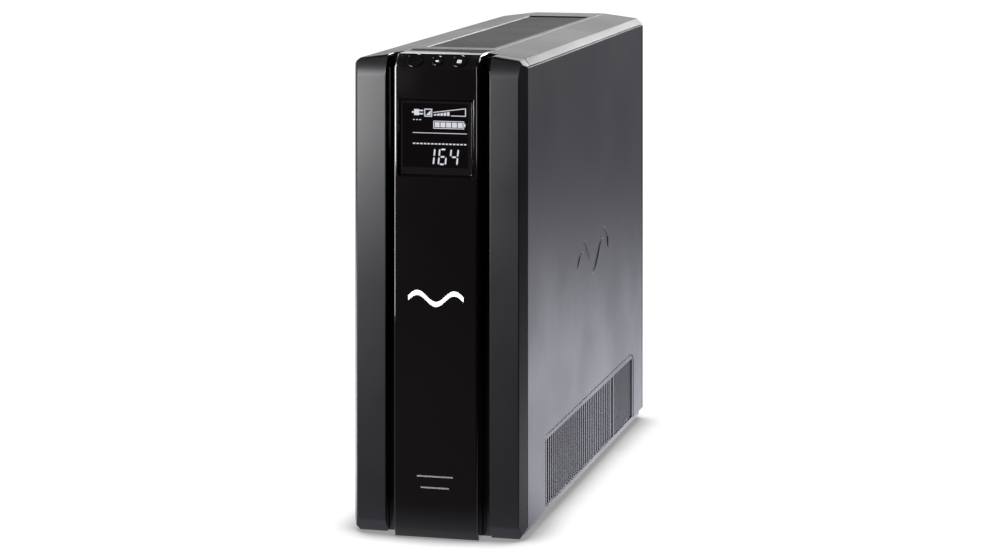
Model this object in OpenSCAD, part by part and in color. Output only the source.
// Tower uninterruptible power supply: a line-interactive unit of about 1500 VA with a glossy front
// panel, a lit display, ten outlets at the back and a battery cartridge behind a door in the bottom.
// Millimetres. The origin is on the floor at the centre of the footprint, +Z is up, the front faces -Y.

/* [Case] */
// Width across the two side panels
case_w = 112; // [111:0.5:114]
// Depth from the glossy front panel to the rear frame
case_d = 382; // [380:1:388]
// Height from the floor to the top of the spine
case_h = 301; // [300:1:305]
// Wall thickness of the moulded panels
wall = 2.5; // [2.3:0.1:2.7]
// Gap at the seams between panels
seam = 0.2; // [0.15:0.05:0.3]
// Gap between a side panel's top edge and the roof
roof_seam = 0.6; // [0.4:0.1:0.8]

/* [Roof] */
// Drop from the top of the spine to the shoulder, where the side panels end
shoulder_drop = 7.2; // [7:0.1:8]
// Width of the sloping edge along each side of the roof
edge_w = 4.65; // [4:0.05:5]
// Height of that sloping edge
edge_h = 4; // [3.5:0.1:4.5]
// Width of the spine cover
spine_w = 53; // [52:0.5:54]
// Depth of the grained field in the spine cover
spine_recess = 0.9; // [0.5:0.1:1.2]

/* [Front] */
// Step back from the glossy panel to the two matt wings
wing_step = 4.4; // [3.5:0.1:5]
// Step back from the glossy panel to the side panels
side_step = 13; // [12:0.5:14]
// Width of the glossy front panel
front_panel_w = 54.3; // [54:0.1:54.8]
// Width of the groove on each side of the glossy panel
groove_w = 6.3; // [5:0.1:7]
// Height of the display window
window_h = 48.7; // [48:0.1:50]
// Width of the display window
window_w = 48.6; // [48:0.1:49]
// Height of the middle of the display window above the floor
window_z = 249.3; // [247:0.1:250]

/* [Buttons] */
// Radius of the power button
power_button_r = 5.25; // [4.5:0.05:5.3]
// Radius of the mute button
mute_button_r = 3.7; // [3.2:0.1:4]
// Radius of the display button
display_button_r = 4.6; // [4:0.1:4.8]
// Travel of a button when it is pressed
button_travel = 0.8; // [0.5:0.1:0.8]
// Gap round a button
button_gap = 0.25; // [0.15:0.05:0.3]

/* [Side vents] */
// Front edge of the vent, measured back from the glossy panel
vent_front = 56.5; // [55:0.5:60]
// Length of the vent
vent_length = 289.7; // [280:0.1:292]
// Top edge of the vent above the floor
vent_top = 54.8; // [50:0.1:56]
// Gap round the vent insert
vent_gap = 0.6; // [0.4:0.1:0.8]
// Distance between two ribs
rib_pitch = 6; // [5:0.5:8]
// Width of the open slot between two ribs
slot_w = 3.2; // [2:0.1:3.6]

/* [Outlets] */
// Number of outlets in each of the two columns
outlet_rows = 5; // [3:1:5]
// Distance between two outlets in a column
outlet_pitch = 26; // [25.5:0.5:27]
// Distance of each column from the middle
outlet_x = 24; // [23:0.5:25]

/* [Fan] */
// Side of the square fan frame
fan_size = 60; // [60:1:62]
// Number of fan blades
fan_blades = 7; // [5:1:9]

/* [Battery] */
// Length of one battery block
block_l = 151; // [149:1:151]
// Thickness of one battery block
block_t = 65; // [62:1:65]
// Height of one battery block without its terminals
block_h = 94; // [90:1:94]
// Travel of the battery door before it lifts off
door_travel = 12; // [8:1:12]

/* [Hidden] */
$fn = 48;

// Colours
case_grey = [0.27, 0.27, 0.29];
matt_black = [0.12, 0.12, 0.13];
gloss_black = [0.05, 0.05, 0.055];
steel = [0.72, 0.73, 0.75];
brass = [0.80, 0.66, 0.35];
copper = [0.72, 0.42, 0.22];
board_green = [0.10, 0.35, 0.20];
rubber_black = [0.07, 0.07, 0.07];

// Planes of the case
half_w = case_w / 2;
front_y = -case_d / 2;
rear_y = case_d / 2;
wing_y = front_y + wing_step;
side_front_y = front_y + side_step;
side_rear_y = rear_y - 5;
side_bottom_z = 7;
shoulder_z = case_h - shoulder_drop;
side_top_z = shoulder_z - roof_seam;
inner_w = half_w - wall - seam;
bezel_rear_y = front_y + 24.5;
bezel_bottom_z = 0.6;
spine_front_y = front_y + 44;
spine_t = 2.6;
panel_x = front_panel_w / 2;
groove_x = panel_x + groove_w;

// Slope at the top of the glossy panel, which carries the buttons
slope_run = 9;
slope_rise = 8.2;
slope_angle = atan2(slope_rise, slope_run);
button_x = [-14.6, 0, 14.2];
button_r = [power_button_r, mute_button_r, display_button_r];
key_board_z = -11;

// Base and battery bay
floor_z = [4.8, 7.8];
rim_bottom_z = 2.2;
rail_top_z = 16;
rail_x = [inner_w - 2.8, inner_w];
bay_y = [-148.5, 12];
pack_y = [-145, -145 + block_l];
pack_z = 10;
pack_x = [-48, -48 + block_h];
deck_z = [141.2, 143.7];
deck_y = [-152, 148];
// Baffle behind the right-hand vent, in the gap between the batteries and the transformer
baffle_x = [rail_x[0] - 5, rail_x[0] - 3];
baffle_y = [pack_y[1] + 1, 29];

// Transformer
core_y = [30, 125];
core_z = [8, 122];
core_x = 33;
core_leg = 19;
core_mid_z = (core_z[0] + core_z[1]) / 2;
bracket_t = 2;

// Main board, standing along the left side above the deck
board_x = [-40, -38.4];
board_y = [-148, 146];
board_z = [147, 283];
board_holes = [[-145, 155], [-145, 276], [143, 155], [143, 276]];

// Rear panel
field_y = rear_y - 3;
plate_y = field_y - wall;
socket_back_y = rear_y - 27;
row_z = 100;
first_outlet_z = 128;
inlet_x = -24;
pin_tail_y = field_y - 30;
breaker_x = 14;
port_x = 38;
fan_z = 48;
fan_y = [plate_y - 25, plate_y];
bay_floor_y = field_y - 7;
data_z = 271;
jack_x = -26;
data_port_x = 2;
coax_x = [19, 34];
ground_at = [44, 70];
screw_x = half_w - 8;
screw_heights = [22, 135, 250];
foot_at = [42, 165];

// ---------------------------------------------------------------- helpers

// A box between two corners, given as [low, high] along each axis
module block(x, y, z)
    translate([x[0], y[0], z[0]])
        cube([x[1] - x[0], y[1] - y[0], z[1] - z[0]]);

// The shape and its mirror image across the middle plane
module both_sides() {
    children();
    mirror([1, 0, 0]) children();
}

// Extrudes an outline of [y, z] points along X
module extrude_x(x)
    translate([x[0], 0, 0]) rotate([90, 0, 90]) linear_extrude(x[1] - x[0]) children();

// Extrudes an outline of [x, z] points along Y
module extrude_y(y)
    translate([0, y[1], 0]) rotate([90, 0, 0]) linear_extrude(y[1] - y[0]) children();

// Extrudes an outline of [x, y] points along Z
module extrude_z(z)
    translate([0, 0, z[0]]) linear_extrude(z[1] - z[0]) children();

module rod_x(x, y, z, r)
    translate([x[0], y, z]) rotate([0, 90, 0]) cylinder(h = x[1] - x[0], r = r);

module rod_y(x, y, z, r)
    translate([x, y[0], z]) rotate([-90, 0, 0]) cylinder(h = y[1] - y[0], r = r);

module rod_z(x, y, z, r)
    translate([x, y, z[0]]) cylinder(h = z[1] - z[0], r = r);

// A wire through a list of points, in eight-sided runs that reach a little past each bend.
// Each run is turned a little about its own length, so that no two runs share a face.
module wire(points, r) {
    last = len(points) - 1;
    for (i = [1 : last]) {
        run = points[i] - points[i - 1];
        before = i > 1 ? r / 2 : 0;
        after = i < last ? r / 2 : 0;
        translate(points[i - 1])
            rotate([0, acos(run[2] / norm(run)), atan2(run[1], run[0])])
                translate([0, 0, -before])
                    rotate([0, 0, i * 13])
                        cylinder(h = before + norm(run) + after, r = r, $fn = 8);
    }
}

// A pan head screw pointing along -Z, its head's seat at z = 0
module pan_screw(head_r, head_h, shank_r, length) {
    difference() {
        cylinder(h = head_h, r = head_r);
        for (turn = [0, 90])
            rotate([0, 0, turn])
                block([-head_r * 0.6, head_r * 0.6], [-0.4, 0.4], [head_h * 0.45, head_h + 1]);
    }
    translate([0, 0, -length]) cylinder(h = length + 0.1, r = shank_r);
}

// Puts a shape on the button slope: local z is out of the slope, local y is up it
module on_slope(x)
    translate([x, front_y + slope_run / 2, case_h - slope_rise / 2])
        rotate([slope_angle, 0, 0]) children();

// Puts a shape on the rear face: local z points out of the back
module on_back(x, z, y = field_y)
    translate([x, y, z]) rotate([-90, 0, 0]) children();

// One thick sine wave, centred, as an outline
module wave_outline(length, height, stroke) {
    steps = 48;
    rise = (height - stroke) / 2;
    upper = [for (i = [0 : steps])
        [length * (i / steps - 0.5), rise * sin(540 * i / steps) + stroke / 2]];
    lower = [for (i = [steps : -1 : 0])
        [length * (i / steps - 0.5), rise * sin(540 * i / steps) - stroke / 2]];
    polygon(concat(upper, lower));
}

// ---------------------------------------------------------------- case outlines

// Right half of the roof outline, moved inwards by t
function roof_half(t) = [
    [half_w - t, shoulder_z - 0.4 * t],
    [half_w - edge_w - 0.6 * t, shoulder_z + edge_h - t],
    [spine_w / 2, case_h - t]
];

function mirrored(points) = [for (i = [len(points) - 1 : -1 : 0]) [-points[i][0], points[i][1]]];

// Cross-section of the case from the front, moved inwards by t, cut off flat at bottom_z
function case_section(t, bottom_z) = let (half = concat([[half_w - t, bottom_z]], roof_half(t)))
    concat(half, mirrored(half));

// Side outline of the bezel's wings
function wing_profile() = [
    [bezel_rear_y, bezel_bottom_z],
    [wing_y + 5.1, bezel_bottom_z],
    [wing_y, bezel_bottom_z + 8.1],
    [wing_y, case_h - 9.5],
    [wing_y + 6.1, case_h - 1.4],
    [wing_y + 7.2, case_h],
    [bezel_rear_y, case_h]
];

// Side outline of the ramp that closes the top of each groove
function groove_ramp() = [
    [side_front_y, case_h - 16],
    [side_front_y, case_h - 15],
    [bezel_rear_y - 1, case_h - 1.5],
    [bezel_rear_y, case_h - 1.5],
    [bezel_rear_y, case_h - 16]
];

// Side outline of the glossy panel
function front_panel_profile() = [
    [side_front_y - seam, 0.2],
    [front_y + 2.2, 0.2],
    [front_y, 6.5],
    [front_y, case_h - slope_rise],
    [front_y + slope_run, case_h],
    [spine_front_y - seam, case_h],
    [spine_front_y - seam, case_h - 8.6],
    [side_front_y - seam, case_h - 8.6]
];

// Side outline of the hollow behind the glossy panel
function front_panel_hollow() = [
    [spine_front_y + 1, 3],
    [front_y + 4.4, 3],
    [front_y + wall, 7],
    [front_y + wall, case_h - slope_rise - 1],
    [front_y + slope_run + 1, case_h - wall],
    [spine_front_y + 1, case_h - wall]
];

// Side outline of a vent, moved inwards by t
function vent_outline(t) = [
    [front_y + vent_front + t, side_bottom_z - 1],
    [front_y + vent_front + 1.2 + t, vent_top - 6],
    [front_y + vent_front + 3.5 + t, vent_top - 2.2 - t],
    [front_y + vent_front + 8, vent_top - 0.6 - t],
    [front_y + vent_front + vent_length - 9, vent_top + 0.4 - t],
    [front_y + vent_front + vent_length - 3 - t, vent_top - 1.8 - t],
    [front_y + vent_front + vent_length - t, vent_top - 6],
    [front_y + vent_front + vent_length - t, side_bottom_z - 1]
];

// ---------------------------------------------------------------- outer panels

module base_tray() color(matt_black) difference() {
    union() {
        block([-inner_w, inner_w], [side_front_y + 2, side_rear_y - wall], floor_z);
        both_sides() block(rail_x, [side_front_y + 2, side_rear_y - wall], [rim_bottom_z, rail_top_z]);
        block([-inner_w, inner_w], [side_front_y + 2, side_front_y + 5], [rim_bottom_z, 9]);
        block([-inner_w, inner_w], [side_rear_y - 6, rear_y - 2], [rim_bottom_z, side_bottom_z - seam]);
        for (x = [-24, 24])
            block([x - 3, x + 3], [core_y[1] + 15, side_rear_y - 6], [rim_bottom_z, floor_z[0] + 1]);
    }
    block([-rail_x[0], rail_x[0]], bay_y, [0, 20]);
    for (x = [-foot_at[0], foot_at[0]], y = [-foot_at[1], foot_at[1]])
        rod_z(x, y, [0, floor_z[0] + 1], 7.2);
    for (x = [-14, 14], y = [core_y[0] - 8, core_y[1] + 8])
        rod_z(x, y, [0, 20], 2.05);
    for (x = [-14, 14])
        block([x - 1.5, x + 1.5], [core_y[1] + 16, side_rear_y - 12], [0, 20]);
}

module battery_door() color(matt_black) {
    plate_x = rail_x[0] - 0.3;
    difference() {
        block([-plate_x, plate_x], [bay_y[0] - 1.5, bay_y[1] - 4], [2.4, 4.6]);
        for (i = [0 : 5])
            block([-14, 14], [-12 - i * 3, -10.5 - i * 3], [2, 3.1]);
    }
    for (x = [-40, -14, 14, 40])
        block([x - 1, x + 1], [bay_y[0] + 8, bay_y[1] - 16], [4.5, pack_z - 0.05]);
    for (x = [-34, 0, 34]) {
        block([x - 6, x + 6], [bay_y[0] + 0.2, bay_y[0] + 2.4], [4.5, 9.6]);
        block([x - 6, x + 6], [bay_y[0] - 8, bay_y[0] + 2.4], [8, 9.6]);
    }
}

module rubber_feet() color(rubber_black)
    for (x = [-foot_at[0], foot_at[0]], y = [-foot_at[1], foot_at[1]])
        translate([x, y, 0]) {
            cylinder(h = 0.8, r1 = 6.4, r2 = 7);
            translate([0, 0, 0.8]) cylinder(h = floor_z[0] + 0.1, r = 7);
        }

module side_panel() difference() {
    union() {
        block([half_w - wall, half_w], [side_front_y + seam, side_rear_y - seam], [side_bottom_z, side_top_z]);
        for (z = screw_heights)
            block([screw_x - 5, half_w - wall + 0.1], [plate_y - 6.2, plate_y - 0.1], [z - 5, z + 5]);
        for (y = [-120, 0, 120])
            block([half_w - wall - 3, half_w - wall + 0.1], [y - 6, y + 6], [side_top_z - 12, side_top_z - 10]);
    }
    extrude_x([half_w - wall - 1, half_w + 1]) polygon(vent_outline(0));
    extrude_x([half_w - 0.6, half_w + 1])
        translate([14.6, 149]) wave_outline(100, 27, 8);
    for (z = screw_heights)
        rod_y(screw_x, [plate_y - 10, plate_y + 1], z, 1.55);
}

module right_side_panel() color(case_grey) side_panel();
module left_side_panel() color(case_grey) mirror([1, 0, 0]) side_panel();

module vent_grille() {
    rib_y = [front_y + vent_front + 8, front_y + vent_front + 217];
    blind_y = [rib_y[1] + 3, front_y + vent_front + vent_length - 4.5];
    field_z = [side_bottom_z + 1.2, vent_top - 4];
    rib_count = floor((rib_y[1] - rib_y[0]) / rib_pitch);
    ridge_count = floor((blind_y[1] - blind_y[0]) / 3);
    difference() {
        intersection() {
            extrude_x([inner_w, half_w - 0.3]) polygon(vent_outline(vent_gap));
            block([0, half_w], [front_y, rear_y], [side_bottom_z, case_h]);
        }
        block([half_w - 1.2, half_w + 1], [rib_y[0] - 2, rib_y[1]], field_z);
        block([half_w - 1.6, half_w + 1], blind_y, field_z);
        for (i = [0 : rib_count - 1])
            block(
                [0, half_w + 1],
                [rib_y[0] + i * rib_pitch, rib_y[0] + i * rib_pitch + slot_w],
                [field_z[0] + 0.5, field_z[1] - 0.5]
            );
    }
    for (i = [0 : ridge_count - 1])
        block(
            [half_w - 1.7, half_w - 1.1],
            [blind_y[0] + 1 + i * 3, blind_y[0] + 2.2 + i * 3],
            [field_z[0] + 1, field_z[1] - 1]
        );
}

module right_vent_grille() color(case_grey) vent_grille();
module left_vent_grille() color(case_grey) mirror([1, 0, 0]) vent_grille();

module top_cover() color(case_grey) {
    front_edge = bezel_rear_y + seam;
    difference() {
        intersection() {
            extrude_y([front_y, rear_y]) polygon(case_section(0, shoulder_z));
            extrude_z([0, case_h + 1]) polygon([
                [-half_w, front_edge - 5], [-half_w + edge_w, front_edge],
                [half_w - edge_w, front_edge], [half_w, front_edge - 5],
                [half_w, rear_y], [-half_w, rear_y]
            ]);
        }
        extrude_y([front_y, rear_y - wall]) polygon(case_section(wall, 0));
        block([-spine_w / 2 - seam, spine_w / 2 + seam], [spine_front_y - 40, rear_y + 1],
            [case_h - spine_t - seam / 2, case_h + 1]);
        block([-panel_x - seam, panel_x + seam], [front_y, spine_front_y - seam / 2], [0, case_h + 1]);
    }
    difference() {
        block([-spine_w / 2 - 3, spine_w / 2 + 3], [spine_front_y, rear_y - 1],
            [case_h - spine_t - 2.2, case_h - spine_t - seam / 2]);
        for (y = [-120 : 60 : 120])
            block([-12, 12], [y - 2, y + 2], [0, case_h]);
    }
    both_sides() {
        block([inner_w - 2, inner_w], [front_edge + 4, plate_y - 2], [side_top_z - 6, shoulder_z + 0.6]);
        block([panel_x + seam, groove_x + 2], [front_edge, front_edge + 2], [case_h - 9.5, case_h - 2]);
    }
}

module spine_cover() color(case_grey) {
    difference() {
        block([-spine_w / 2, spine_w / 2], [spine_front_y, rear_y], [case_h - spine_t, case_h]);
        block([-22.2, 22.2], [spine_front_y + 16, rear_y - 36.5], [case_h - spine_recess, case_h + 1]);
    }
    for (y = [-120 : 60 : 120])
        block([-11, 11], [y - 1, y + 1], [case_h - spine_t - 5, case_h - spine_t + 0.1]);
}

// One half of the bezel's plan: a lip inside the side panel below the shoulder, full width above it
module bezel_plan_low()
    polygon([
        [0, bezel_rear_y], [inner_w, bezel_rear_y], [inner_w, side_front_y], [half_w, side_front_y],
        [half_w - 3.8, wing_y], [groove_x, wing_y], [groove_x, side_front_y], [0, side_front_y]
    ]);

module bezel_plan_high()
    polygon([
        [0, bezel_rear_y], [half_w - edge_w, bezel_rear_y], [half_w, bezel_rear_y - 5],
        [half_w, side_front_y], [half_w - 3.8, wing_y], [groove_x, wing_y],
        [groove_x, side_front_y], [0, side_front_y]
    ]);

module front_bezel() color(matt_black) {
    corner = [[half_w, 7], [half_w - 4.4, bezel_bottom_z]];
    section = concat([corner[1], corner[0]], roof_half(0));
    difference() {
        intersection() {
            both_sides() {
                extrude_z([0, shoulder_z]) bezel_plan_low();
                extrude_z([shoulder_z, case_h]) bezel_plan_high();
            }
            extrude_x([-half_w, half_w]) polygon(wing_profile());
            extrude_y([front_y, rear_y]) polygon(concat(section, mirrored(section)));
        }
        both_sides() extrude_x([groove_x + wall, half_w - 5.3]) polygon([
            [0, 4], [wing_y + 7, 4], [wing_y + wall, 11], [wing_y + wall, case_h - 11],
            [wing_y + 7.8, case_h - 6], [0, case_h - 6]
        ]);
        block([-half_w + 5.2, half_w - 5.2], [side_front_y + wall, 0], [4, case_h - 6]);
        block([-half_w, half_w], [side_front_y + 2 - seam, 0], [0, rail_top_z + seam]);
        block([-25.5, 25.5], [front_y, 0], [212, case_h + 1]);
        block([-groove_x, groove_x], [front_y, 0], [case_h - 9, case_h + 1]);
    }
    both_sides() extrude_x([panel_x + seam, groove_x + 0.1]) polygon(groove_ramp());
}

module front_panel() color(gloss_black) {
    inside = panel_x - wall;
    difference() {
        extrude_x([-panel_x, panel_x]) polygon(front_panel_profile());
        extrude_x([-inside, inside]) polygon(front_panel_hollow());
        block([-window_w / 2, window_w / 2], [front_y - 1, front_y + 1.6],
            [window_z - window_h / 2, window_z + window_h / 2]);
        block([-22.6, 22.6], [front_y - 1, front_y + 5], [window_z - 22.6, window_z + 22.6]);
        for (i = [0 : 2]) on_slope(button_x[i]) {
            translate([0, 0, -wall - 4]) cylinder(h = wall + 6, r = button_r[i] + button_gap);
            translate([0, 0, -0.5]) cylinder(h = 1, r1 = button_r[i] + button_gap, r2 = button_r[i] + 1.1);
            translate([0, 0, -wall - 5]) cylinder(h = 5, r = button_r[i] + 1.1);
        }
    }
    for (x = [-6.6, 6.6]) on_slope(x)
        translate([0, 0, key_board_z]) cylinder(h = -key_board_z - wall + 0.3, r = 1.3);
    for (x = [-19, 19], z = [218, 279]) difference() {
        rod_y(x, [front_y + wall - 0.1, front_y + 10], z, 2.5);
        rod_y(x, [front_y + wall + 1, front_y + 11], z, 1.05);
    }
}

// ---------------------------------------------------------------- display and buttons

module lcd_window() color([0.10, 0.10, 0.11, 0.6]) {
    gap = 0.05;
    block([-window_w / 2 + gap, window_w / 2 - gap], [front_y + 0.05, front_y + 1.55],
        [window_z - window_h / 2 + gap, window_z + window_h / 2 - gap]);
}

module lcd_module() color([0.05, 0.06, 0.07]) {
    block([-22.4, 22.4], [front_y + 1.7, front_y + 4], [window_z - 22.4, window_z + 22.4]);
    block([-23.6, 23.6], [front_y + 3.9, front_y + 10], [window_z - 23.4, window_z + 23.4]);
}

module push_button(i) on_slope(button_x[i]) {
    r = button_r[i];
    difference() {
        translate([0, 0, -3.9]) cylinder(h = 4.2, r = r);
        translate([0, 0, 0.1]) cylinder(h = 1, r1 = r - 1.2, r2 = r - 0.4);
    }
    translate([0, 0, -3.9]) cylinder(h = 1.2, r = r + 0.7);
    translate([0, 0, -6.6]) cylinder(h = 3, r = 1.5);
}

module power_button() color(gloss_black) push_button(0);
module mute_button() color(gloss_black) push_button(1);
module display_button() color(gloss_black) push_button(2);

module key_board() color(board_green) on_slope(0)
    block([-23, 23], [-6.5, 6.5], [key_board_z - 1.6, key_board_z]);

module key_switches() color(steel) {
    plunger_z = -6.6 - button_travel - 0.1;
    for (x = button_x) on_slope(x) {
        block([-3, 3], [-3, 3], [key_board_z, plunger_z - 0.4]);
        translate([0, 0, plunger_z - 0.5]) cylinder(h = 0.5, r = 1.7);
    }
}

module display_board() color(board_green) difference() {
    block([-24.2, 24.2], [front_y + 10.1, front_y + 11.7], [214, 282]);
    for (x = [-19, 19], z = [218, 279])
        rod_y(x, [front_y + 9, front_y + 13], z, 1.4);
}

module display_ribbon() color([0.75, 0.75, 0.72]) extrude_z([232, 248]) polygon([
    [-20, front_y + 11.8], [-19.2, front_y + 11.8], [-19.2, -133.2],
    [board_x[1] + 0.1, -133.2], [board_x[1] + 0.1, -134], [-20, -134]
]);

// ---------------------------------------------------------------- back

// Calls its children once for each outlet of a column
module at_outlets(x)
    for (i = [0 : outlet_rows - 1])
        on_back(x, first_outlet_z + i * outlet_pitch) children();

// Outline of the opening of a three-pin appliance coupler, with two cut corners
module coupler_outline(w, h, cut) polygon([
    [-w / 2, -h / 2], [w / 2, -h / 2], [w / 2, h / 2 - cut], [w / 2 - cut, h / 2],
    [-w / 2 + cut, h / 2], [-w / 2, h / 2 - cut]
]);

// Places of the three pins of a coupler
pin_at = [[-7, -2], [7, -2], [0, 2]];

module rear_panel() color(matt_black) {
    data_bay_z = [data_z - 13.5, data_z + 13];
    difference() {
        union() {
            block([-half_w, half_w], [side_rear_y, rear_y], [side_bottom_z, side_top_z]);
            block([-inner_w, inner_w], [plate_y, field_y], [side_bottom_z, side_top_z]);
            block([-46, 46], [bay_floor_y - wall, field_y], data_bay_z);
        }
        block([-half_w + 5, half_w - 5], [field_y, rear_y + 1], [side_bottom_z + 6, side_top_z - 5]);
        block([-43.5, 43.5], [bay_floor_y, rear_y + 1], [data_bay_z[0] + 2.5, data_bay_z[1] - 2.5]);
        for (x = [-outlet_x, outlet_x]) at_outlets(x)
            block([-14.2, 14.2], [-10.7, 10.7], [-10, 10]);
        on_back(inlet_x, row_z) block([-14.2, 14.2], [-10.7, 10.7], [-10, 10]);
        for (x = [-20, 20]) on_back(inlet_x + x, row_z) cylinder(h = 20, r = 1.7, center = true);
        on_back(breaker_x, row_z) cylinder(h = 20, r = 6.2, center = true);
        on_back(port_x, row_z) block([-9.2, 9.2], [-6.2, 6.2], [-10, 10]);
        on_back(0, fan_z) cylinder(h = 20, r = 28.5, center = true);
        for (x = [-25, 25], z = [-25, 25])
            on_back(x, fan_z + z) cylinder(h = 20, r = 2.2, center = true);
        for (x = [-screw_x, screw_x], z = screw_heights)
            on_back(x, z) cylinder(h = 20, r = 1.7, center = true);
        on_back(ground_at[0], ground_at[1]) cylinder(h = 20, r = 2.1, center = true);
        on_back(jack_x, data_z) block([-15.7, 15.7], [-7.2, 7.2], [-20, 0]);
        on_back(data_port_x, data_z) block([-6.7, 6.7], [-7.2, 7.2], [-20, 0]);
        for (x = coax_x) on_back(x, data_z) cylinder(h = 40, r = 4.9, center = true);
    }
}

module panel_screws() color(steel) {
    for (x = [-screw_x, screw_x], z = screw_heights)
        on_back(x, z) pan_screw(2.9, 1.8, 1.5, 8);
    for (x = [-20, 20])
        on_back(inlet_x + x, row_z, field_y + 1.5) pan_screw(2.5, 1.3, 1.5, 8);
}

// A female outlet: a ring-shaped slot round a core with three pin slots
module outlet() difference() {
    union() {
        block([-16.5, 16.5], [-12.2, 12.2], [0, 1.5]);
        block([-14, 14], [-10.5, 10.5], [socket_back_y - field_y, 0.1]);
    }
    difference() {
        translate([0, 0, -15]) linear_extrude(20) coupler_outline(24.6, 16.8, 4.5);
        translate([0, 0, -16]) linear_extrude(17.4) coupler_outline(20.8, 13, 3.6);
    }
    for (p = pin_at)
        block([p[0] - 1.3, p[0] + 1.3], [p[1] - 2.4, p[1] + 2.4], [socket_back_y - field_y - 1, 5]);
}

module backup_outlets() color(matt_black) at_outlets(-outlet_x) outlet();
module surge_outlets() color(matt_black) at_outlets(outlet_x) outlet();

// Spring contacts, one in each pin slot of each outlet
module outlet_contacts() color(brass)
    for (x = [-outlet_x, outlet_x]) at_outlets(x)
        for (p = pin_at) {
            block([p[0] - 1.25, p[0] - 1.05], [p[1] - 2.2, p[1] + 2.2], [-18, -4]);
            block([p[0] + 1.05, p[0] + 1.25], [p[1] - 2.2, p[1] + 2.2], [-18, -4]);
            block([p[0] - 1.25, p[0] + 1.25], [p[1] - 2.2, p[1] + 2.2], [-19, -17.5]);
            block([p[0] - 0.4, p[0] + 0.4], [p[1] - 2.2, p[1] + 2.2], [-30, -18.5]);
        }

module inlet_socket() color(matt_black) on_back(inlet_x, row_z) difference() {
    union() {
        block([-24, 24], [-11.2, 11.2], [0, 1.5]);
        block([-14, 14], [-10.5, 10.5], [socket_back_y - field_y, 0.1]);
    }
    translate([0, 0, -15]) linear_extrude(20) coupler_outline(24.6, 16.8, 4.5);
    for (p = pin_at)
        block([p[0] - 1.05, p[0] + 1.05], [p[1] - 2.05, p[1] + 2.05], [-40, 0]);
    for (x = [-20, 20])
        translate([x, 0, -1]) cylinder(h = 4, r = 1.7);
}

module inlet_pins() color(brass) on_back(inlet_x, row_z)
    for (p = pin_at)
        block([p[0] - 1, p[0] + 1], [p[1] - 2, p[1] + 2], [pin_tail_y - field_y, 0]);

module breaker_body() color([0.15, 0.15, 0.16]) on_back(breaker_x, row_z) difference() {
    union() {
        translate([0, 0, -26]) cylinder(h = 26 - wall - 0.1, r = 9);
        translate([0, 0, -4]) cylinder(h = 6.2, r = 6);
    }
    translate([0, 0, -14]) cylinder(h = 30, r = 4.1);
}

module breaker_nut() color(steel) on_back(breaker_x, row_z) difference() {
    cylinder(h = 2, r = 8.6, $fn = 6);
    translate([0, 0, -1]) cylinder(h = 4, r = 6.06);
}

module breaker_button() color([0.85, 0.85, 0.83]) on_back(breaker_x, row_z)
    translate([0, 0, -13.8]) cylinder(h = 13.8 + 2.8, r = 4.02);

module battery_port() color(matt_black) on_back(port_x, row_z) difference() {
    union() {
        block([-11, 11], [-8, 8], [0, 1.5]);
        block([-9, 9], [-6, 6], [-20, 0.1]);
    }
    for (x = [-4.4, 4.4])
        block([x - 3.4, x + 3.4], [-4, 4], [-12, 5]);
}

// Opening of a modular jack, with its latch notch
module jack_opening(w) {
    block([-w / 2, w / 2], [-4, 4], [-11, 10]);
    block([-3, 3], [3, 6], [-11, 10]);
}

module network_jacks() color(matt_black) on_back(jack_x, data_z, bay_floor_y) difference() {
    block([-15.5, 15.5], [-7, 7], [-14, 1]);
    for (x = [-7.5, 7.5]) translate([x, 0, 0]) jack_opening(11.7);
}

module data_port() color(matt_black) on_back(data_port_x, data_z, bay_floor_y) difference() {
    block([-6.5, 6.5], [-7, 7], [-14, 1]);
    jack_opening(10.6);
}

// Eight spring wires in each modular jack
module jack_contacts() color(brass)
    for (x = [jack_x - 7.5, jack_x + 7.5, data_port_x])
        on_back(x, data_z, bay_floor_y)
            for (i = [0 : 7])
                translate([(i - 3.5) * 1.1, 0, 0]) block([-0.2, 0.2], [-3.9, -3.3], [-10.9, -1]);

module coax_connectors() color(steel)
    for (x = coax_x) on_back(x, data_z, bay_floor_y) difference() {
        union() {
            translate([0, 0, -14]) cylinder(h = 23, r = 4.7);
            translate([0, 0, 0.05]) cylinder(h = 2.4, r = 6.4, $fn = 6);
            for (i = [0 : 4])
                translate([0, 0, 3.4 + i * 1.1]) cylinder(h = 0.5, r = 4.95);
        }
        translate([0, 0, 1]) cylinder(h = 10, r = 3.6);
    }

module ground_screw() color(steel)
    on_back(ground_at[0], ground_at[1]) pan_screw(4, 2.4, 2, 10);

// ---------------------------------------------------------------- fan

// Square frame with a hub on three struts at its inner end, which carries the rotor's shaft
module fan_frame() color(matt_black) {
    half = fan_size / 2;
    hub_y = [fan_y[0] + 0.3, fan_y[0] + 3.3];
    difference() {
        block([-half, half], fan_y, [fan_z - half, fan_z + half]);
        rod_y(0, [fan_y[0] - 1, fan_y[1] + 1], fan_z, 28.6);
        for (x = [-25, 25], z = [-25, 25])
            rod_y(x, [fan_y[0] - 1, fan_y[1] + 1], fan_z + z, 2.15);
    }
    difference() {
        rod_y(0, hub_y, fan_z, 13.5);
        rod_y(0, [fan_y[0] - 1, fan_y[1] + 1], fan_z, 1.56);
    }
    for (turn = [35 : 120 : 275])
        translate([0, hub_y[0], fan_z]) rotate([0, turn, 0]) block([12.5, 29.2], [0.2, 2.8], [-2, 2]);
}

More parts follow.
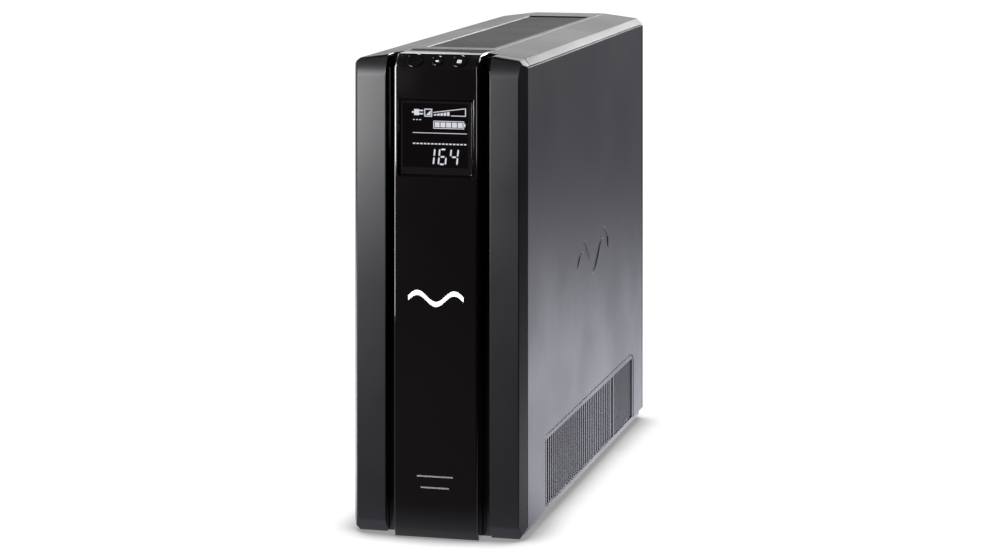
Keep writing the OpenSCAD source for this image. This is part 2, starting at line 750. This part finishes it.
module fan_rotor() color([0.18, 0.18, 0.19]) translate([0, fan_y[0], fan_z]) rotate([-90, 0, 0]) {
    translate([0, 0, 4]) cylinder(h = 19, r = 12.5);
    translate([0, 0, 0.5]) cylinder(h = 4, r = 1.5);
    intersection() {
        translate([0, 0, 4]) cylinder(h = 19, r = 27.4);
        for (i = [0 : fan_blades - 1])
            rotate([0, 0, i * 360 / fan_blades])
                translate([19.5, 0, 13.5]) rotate([38, 0, 0]) cube([17, 1.4, 24], center = true);
    }
}

// Welded wire guard: rings behind two crossing spokes that end at the screws
module fan_guard() color(steel) {
    for (r = [8, 15, 22, 28])
        on_back(0, fan_z) translate([0, 0, 0.8])
            rotate_extrude() translate([r, 0]) circle(r = 0.75, $fn = 16);
    for (turn = [45, -45])
        on_back(0, fan_z) rotate([0, 0, turn]) translate([-31.6, 0, 1.7]) rotate([0, 90, 0])
            cylinder(h = 63.2, r = 0.8, $fn = 16);
    for (x = [-25, 25], z = [-25, 25])
        on_back(x, fan_z + z) difference() {
            translate([0, 0, 0.05]) cylinder(h = 1.5, r = 4.2);
            translate([0, 0, -1]) cylinder(h = 5, r = 2.2);
        }
}

module fan_screws() color(steel)
    for (x = [-25, 25], z = [-25, 25])
        on_back(x, fan_z + z, field_y + 1.6) pan_screw(3.6, 1.3, 2, 12);

// ---------------------------------------------------------------- inside

module inner_chassis() color(case_grey) difference() {
    union() {
        block([-rail_x[0] + 0.2, rail_x[0] - 0.2], deck_y, deck_z);
        block([-rail_x[0] + 0.2, rail_x[0] - 0.2], [14, 16], [floor_z[1], deck_z[0] + 0.1]);
        block(baffle_x, baffle_y, [floor_z[1], vent_top + 7]);
        both_sides() {
            block([42, rail_x[0] - 0.2], [deck_y[0], -149.2], [floor_z[1], deck_z[0] + 0.1]);
            block([42, rail_x[0] - 0.2], [deck_y[1] - 3, deck_y[1]], [floor_z[1], deck_z[0] + 0.1]);
        }
        block([-47, board_x[0] - 0.05], [-152, -140], [deck_z[1] - 0.1, board_z[1]]);
        block([-47, board_x[0] - 0.05], [138, 148], [deck_z[1] - 0.1, board_z[1]]);
    }
    block([36, 60], [-144, -124], [deck_z[0] - 1, deck_z[1] + 1]);
    block([20, 44], [60, 84], [deck_z[0] - 1, deck_z[1] + 1]);
    for (x = [-30, 0, 30])
        block([x - 10, x + 10], [10, 20], [20, 60]);
    for (hole = board_holes)
        rod_x([-48, -39], hole[0], hole[1], 1.3);
}

module battery_blocks() color([0.16, 0.17, 0.19])
    for (i = [0, 1]) {
        low = pack_z + i * (block_t + 0.2);
        block(pack_x, pack_y, [low, low + block_t]);
    }

// Heights of the two terminals of each battery block
terminal_z = [for (i = [0, 1], side = [0.2, 0.8]) pack_z + i * (block_t + 0.2) + side * block_t];
terminal_y = pack_y[0] + 10;

module battery_terminals() color(steel)
    for (z = terminal_z)
        block([pack_x[1], pack_x[1] + 3.4], [terminal_y - 3.1, terminal_y + 3.1], [z - 0.4, z + 0.4]);

// Push-on receptacles, and the link that joins the two blocks in series
module battery_links() color([0.2, 0.2, 0.2]) {
    for (z = terminal_z) difference() {
        block([pack_x[1] + 0.6, pack_x[1] + 3.9], [terminal_y - 3.8, terminal_y + 3.8], [z - 1.4, z + 1.4]);
        block([pack_x[1], pack_x[1] + 3.45], [terminal_y - 3.2, terminal_y + 3.2], [z - 0.45, z + 0.45]);
    }
    rod_z(pack_x[1] + 2.2, terminal_y, [terminal_z[1] + 1.3, terminal_z[2] - 1.3], 1.4);
}

module battery_leads() {
    lead_x = pack_x[1] + 2.2;
    color("red") wire([
        [lead_x, terminal_y, terminal_z[3] + 1.5], [lead_x, terminal_y, 152],
        [0, terminal_y, 160], [board_x[1] + 0.1, terminal_y, 160]
    ], 1.6);
    color("black") wire([
        [lead_x, terminal_y + 7, terminal_z[0]], [lead_x, terminal_y + 7, 150],
        [0, terminal_y + 9, 153], [board_x[1] + 0.1, terminal_y + 9, 153]
    ], 1.6);
}

module transformer_core() color([0.42, 0.42, 0.44]) difference() {
    block([-core_x, core_x], core_y, core_z);
    for (side = [-1, 1])
        block(
            [-core_x - 1, core_x + 1],
            [core_y[0] + core_leg, core_y[1] - core_leg],
            [core_mid_z + side * 28.5 - 9.5, core_mid_z + side * 28.5 + 9.5]
        );
}

module transformer_coil() color([0.78, 0.70, 0.45]) difference() {
    extrude_y([core_y[0] + core_leg + 0.3, core_y[1] - core_leg - 0.3]) polygon([
        [-core_x - 8, core_mid_z - 37.7], [core_x + 8, core_mid_z - 37.7],
        [core_x + 16, core_mid_z - 30], [core_x + 16, core_mid_z + 30],
        [core_x + 8, core_mid_z + 37.7], [-core_x - 8, core_mid_z + 37.7],
        [-core_x - 16, core_mid_z + 30], [-core_x - 16, core_mid_z - 30]
    ]);
    block(
        [-core_x - 0.2, core_x + 0.2],
        [core_y[0], core_y[1]],
        [core_mid_z - core_leg - 0.2, core_mid_z + core_leg + 0.2]
    );
}

module transformer_bracket() color(steel) difference() {
    union() {
        block([-20, 20], [core_y[0] - bracket_t, core_y[1] + bracket_t], [core_z[1], core_z[1] + bracket_t]);
        block([-20, 20], [core_y[0] - bracket_t, core_y[0]], [floor_z[1], core_z[1] + 0.1]);
        block([-20, 20], [core_y[1], core_y[1] + bracket_t], [floor_z[1], core_z[1] + 0.1]);
        block([-20, 20], [core_y[0] - 13, core_y[0]], [floor_z[1], floor_z[1] + bracket_t]);
        block([-20, 20], [core_y[1], core_y[1] + 13], [floor_z[1], floor_z[1] + bracket_t]);
    }
    block([-core_x, core_x], core_y, [0, core_z[1]]);
    for (x = [-14, 14], y = [core_y[0] - 8, core_y[1] + 8])
        rod_z(x, y, [0, 20], 2.2);
}

module transformer_screws() color(steel)
    for (x = [-14, 14], y = [core_y[0] - 8, core_y[1] + 8])
        translate([x, y, floor_z[1] + bracket_t]) pan_screw(3.6, 2.4, 2, bracket_t + 2.8);

module main_board() color(board_green) difference() {
    block(board_x, board_y, board_z);
    for (hole = board_holes)
        rod_x([board_x[0] - 1, board_x[1] + 1], hole[0], hole[1], 1.6);
}

module board_screws() color(steel) {
    for (hole = board_holes)
        translate([board_x[1], hole[0], hole[1]]) rotate([0, 90, 0]) pan_screw(2.6, 1.8, 1.25, 6);
    for (x = [-19, 19], z = [218, 279])
        translate([x, front_y + 11.7, z]) rotate([-90, 0, 0]) pan_screw(2.2, 1.5, 1, 5);
}

// Finned blocks that stand out from the board, with their plates across the case
heatsink_y = [-70, -5];
heatsink_z = [165, 255];

module heatsinks() color([0.62, 0.63, 0.65])
    for (y = heatsink_y) extrude_z(heatsink_z) union() {
        translate([board_x[1], y]) square([50, 4]);
        for (i = [0 : 7])
            translate([board_x[1] + 1 + i * 6.6, y + 3.9]) square([1.6, 18]);
    }

module power_transistors() color([0.08, 0.08, 0.08])
    for (y = heatsink_y, z = [176 : 22 : 242]) {
        block([board_x[1] + 12, board_x[1] + 27], [y - 4.6, y - 0.05], [z - 5, z + 5]);
        for (leg = [-2.5, 0, 2.5])
            block([board_x[1], board_x[1] + 12.1], [y - 2.8, y - 2.2], [z + leg - 0.4, z + leg + 0.4]);
    }

module capacitors() color([0.12, 0.14, 0.22])
    for (y = [42, 66], z = [200, 224, 248])
        rod_x([board_x[1], board_x[1] + 32], y, z, 9);

module relays() color([0.10, 0.16, 0.32])
    for (y = [96, 122], z = [210, 240])
        block([board_x[1], board_x[1] + 17], [y - 10, y + 10], [z - 8, z + 8]);

module filter_choke() color(copper)
    translate([board_x[1] + 6, 50, 166]) rotate([0, 90, 0])
        rotate_extrude() translate([10.5, 0]) circle(r = 5.9, $fn = 32);

module board_fuse() color([0.85, 0.87, 0.88]) {
    rod_z(board_x[1] + 6, 88, [158, 190], 2.8);
    for (z = [156, 186]) rod_z(board_x[1] + 6, 88, [z, z + 6], 3.3);
    for (z = [157, 187]) block([board_x[1], board_x[1] + 5], [85.5, 90.5], [z, z + 4]);
}

module buzzer() color([0.06, 0.06, 0.06]) difference() {
    rod_x([board_x[1], board_x[1] + 9], -105, 262, 6);
    rod_x([board_x[1] + 5, board_x[1] + 10], -105, 262, 1);
}

// Mains wires to the inlet, transformer wires and the fan's lead
module wiring_harness() {
    for (i = [0 : 2])
        color(["brown", "blue", "green"][i]) wire([
            [inlet_x - 7 + i * 7, pin_tail_y - 0.1, row_z],
            [inlet_x - 7 + i * 7, 154, row_z],
            [inlet_x - 7 + i * 7, 154, 160 + i * 8],
            [board_x[1] + 6, 130, 160 + i * 8],
            [board_x[1] + 0.1, 130, 160 + i * 8]
        ], 1.5);
    for (i = [0 : 2])
        color("yellow") wire([
            [core_x + 2.4 + i * 3.2, 72, core_mid_z + 37.8], [core_x + 2.4 + i * 3.2, 72, 147 + i * 4],
            [board_x[1] + 6, 26 - i * 6, 147 + i * 4], [board_x[1] + 0.1, 26 - i * 6, 147 + i * 4]
        ], 1.1);
    color("red") wire([
        [26, fan_y[0] + 2, fan_z + fan_size / 2 + 0.1], [26, fan_y[0] + 2, 84], [26, 156, 88],
        [26, 156, 160], [board_x[1] + 6, 110, 194], [board_x[1] + 0.1, 110, 194]
    ], 1);
}

base_tray();
battery_door();
rubber_feet();
left_side_panel();
right_side_panel();
left_vent_grille();
right_vent_grille();
top_cover();
spine_cover();
front_bezel();
front_panel();
lcd_window();
lcd_module();
power_button();
mute_button();
display_button();
key_board();
key_switches();
display_board();
display_ribbon();
rear_panel();
panel_screws();
backup_outlets();
surge_outlets();
outlet_contacts();
inlet_socket();
inlet_pins();
breaker_body();
breaker_nut();
breaker_button();
battery_port();
network_jacks();
data_port();
jack_contacts();
coax_connectors();
ground_screw();
fan_frame();
fan_rotor();
fan_guard();
fan_screws();
inner_chassis();
battery_blocks();
battery_terminals();
battery_links();
battery_leads();
transformer_core();
transformer_coil();
transformer_bracket();
transformer_screws();
main_board();
board_screws();
heatsinks();
power_transistors();
capacitors();
relays();
filter_choke();
board_fuse();
buzzer();
wiring_harness();
